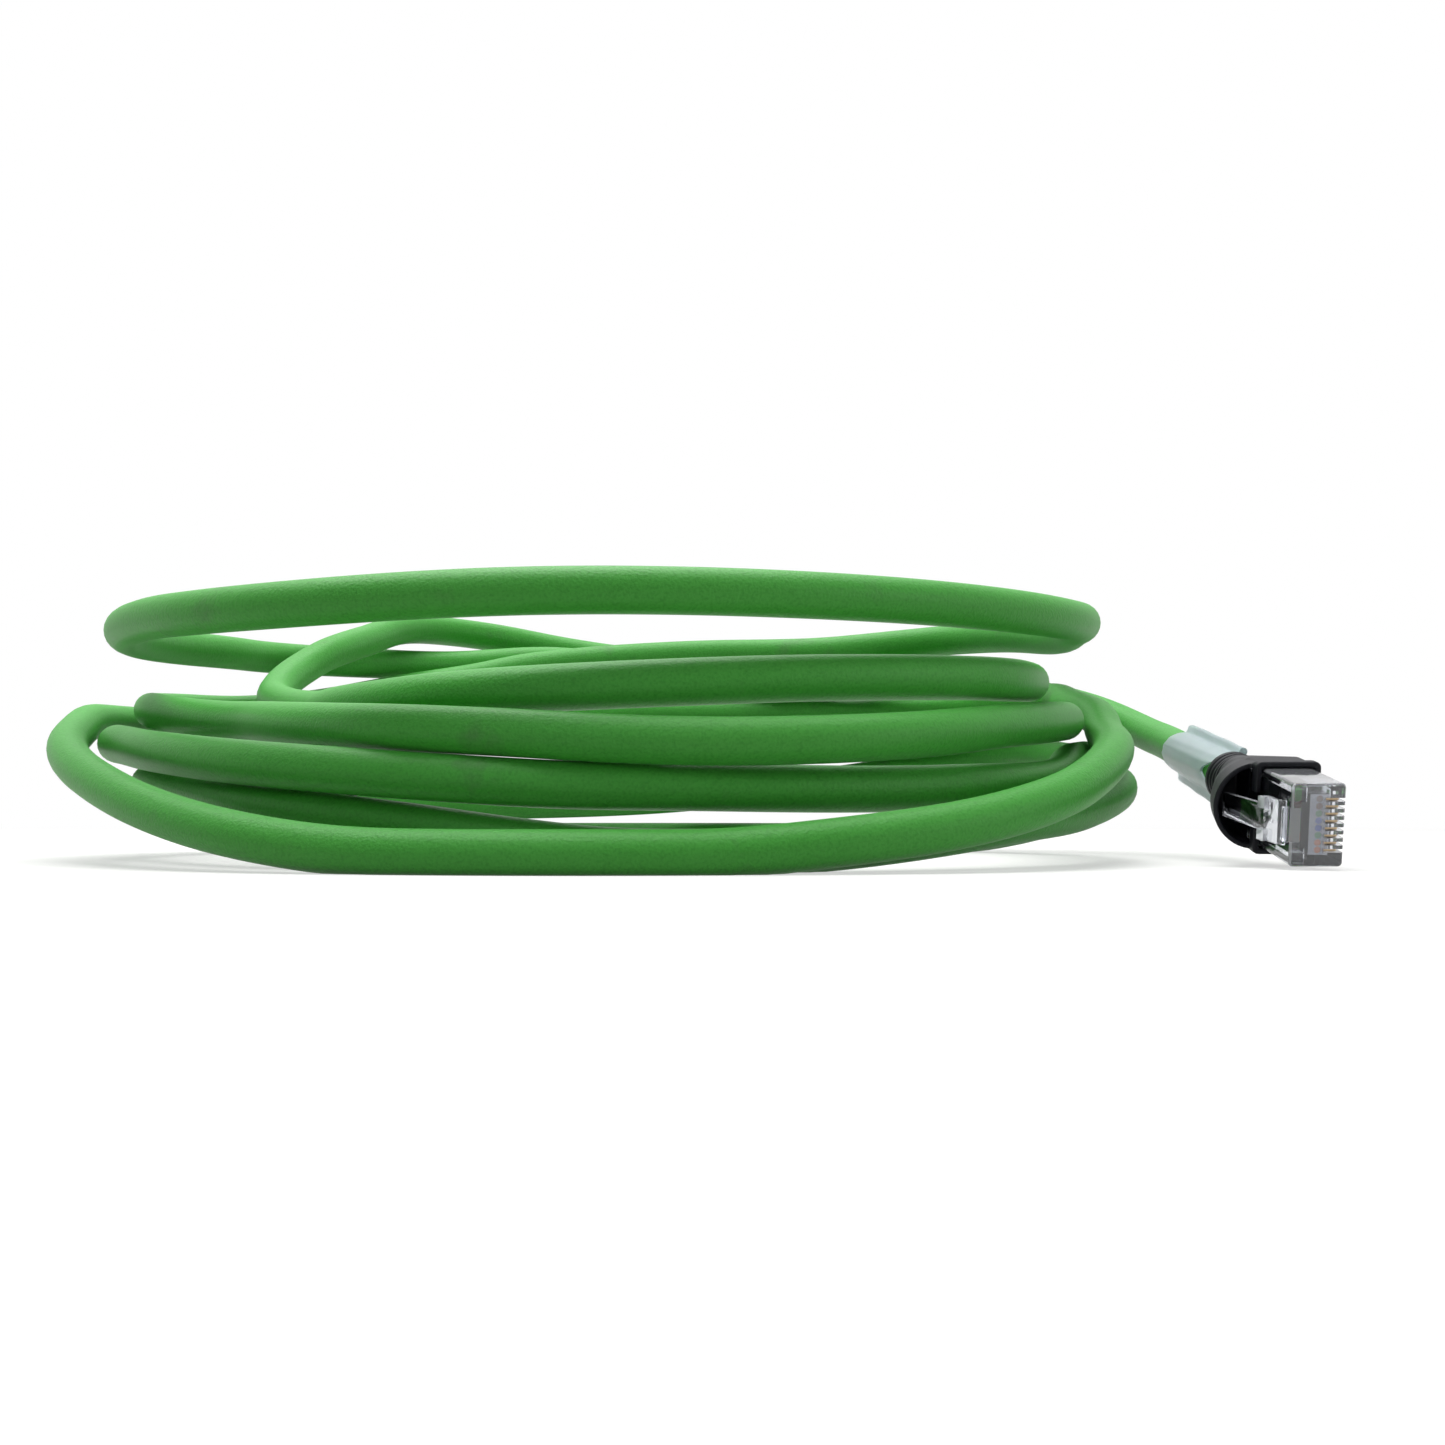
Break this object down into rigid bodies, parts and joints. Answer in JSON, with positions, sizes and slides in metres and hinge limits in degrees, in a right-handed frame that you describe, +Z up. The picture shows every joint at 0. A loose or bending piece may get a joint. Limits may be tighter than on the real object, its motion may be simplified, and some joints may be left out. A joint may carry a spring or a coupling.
{
  "type": "ethernet patch cable",
  "caption": "Loosely coiled round network cable with an 8P8C plug, sprung latch, hooded strain-relief boot and clear sleeve on each end.",
  "frame": {"origin": "centre of the bounding box on the floor under the coil", "axes": "+Z up out of the floor, plug A at +X points along -Y, plug B inside the coil points along -Y with its latch up"},
  "size_m": [0.2052, 0.2053, 0.053],
  "materials": {
    "jacket": "matt extruded polyurethane with a fine orange-peel grain",
    "clear_housing": "clear moulded polycarbonate, glossy",
    "contact_gold": "gold-plated phosphor bronze",
    "load_bar": "clear moulded polycarbonate, slightly cloudy",
    "wire_orange": "smooth polyethylene insulation, one plain and one white with a stripe",
    "wire_green": "smooth polyethylene insulation, one plain and one white with a stripe",
    "wire_blue": "smooth polyethylene insulation, one plain and one white with a stripe",
    "wire_brown": "smooth polyethylene insulation, one plain and one white with a stripe",
    "boot": "matt moulded black thermoplastic elastomer",
    "sleeve": "milky translucent soft vinyl"
  },
  "bodies": {
    "root": {"cable_coil": "jacket", "cable_lead_a": "jacket", "cable_lead_b": "jacket", "housing_a": "clear_housing", "contacts_a": "contact_gold", "load_bar_a": "load_bar", "wires_orange_a": "wire_orange", "wires_green_a": "wire_green", "wires_blue_a": "wire_blue", "wires_brown_a": "wire_brown", "boot_a": "boot", "sleeve_a": "sleeve", "housing_b": "clear_housing", "contacts_b": "contact_gold", "load_bar_b": "load_bar", "wires_orange_b": "wire_orange", "wires_green_b": "wire_green", "wires_blue_b": "wire_blue", "wires_brown_b": "wire_brown", "boot_b": "boot", "sleeve_b": "sleeve"},
    "latch_a": {"latch_a": "clear_housing"},
    "latch_b": {"latch_b": "clear_housing"}
  },
  "joints": [
    {"name": "latch_a_press", "type": "hinge", "parent": "root", "child": "latch_a", "pos_m": [0.09319, -0.07819, 0.00664], "axis": [0.0043, 0.165, -0.9863], "range_deg": [0, 11], "stiffness_Nm_per_rad": 0.05},
    {"name": "latch_b_press", "type": "hinge", "parent": "root", "child": "latch_b", "pos_m": [-0.052, -0.0434, 0.0089], "axis": [-1, 0, 0], "range_deg": [0, 11], "stiffness_Nm_per_rad": 0.05}
  ]
}
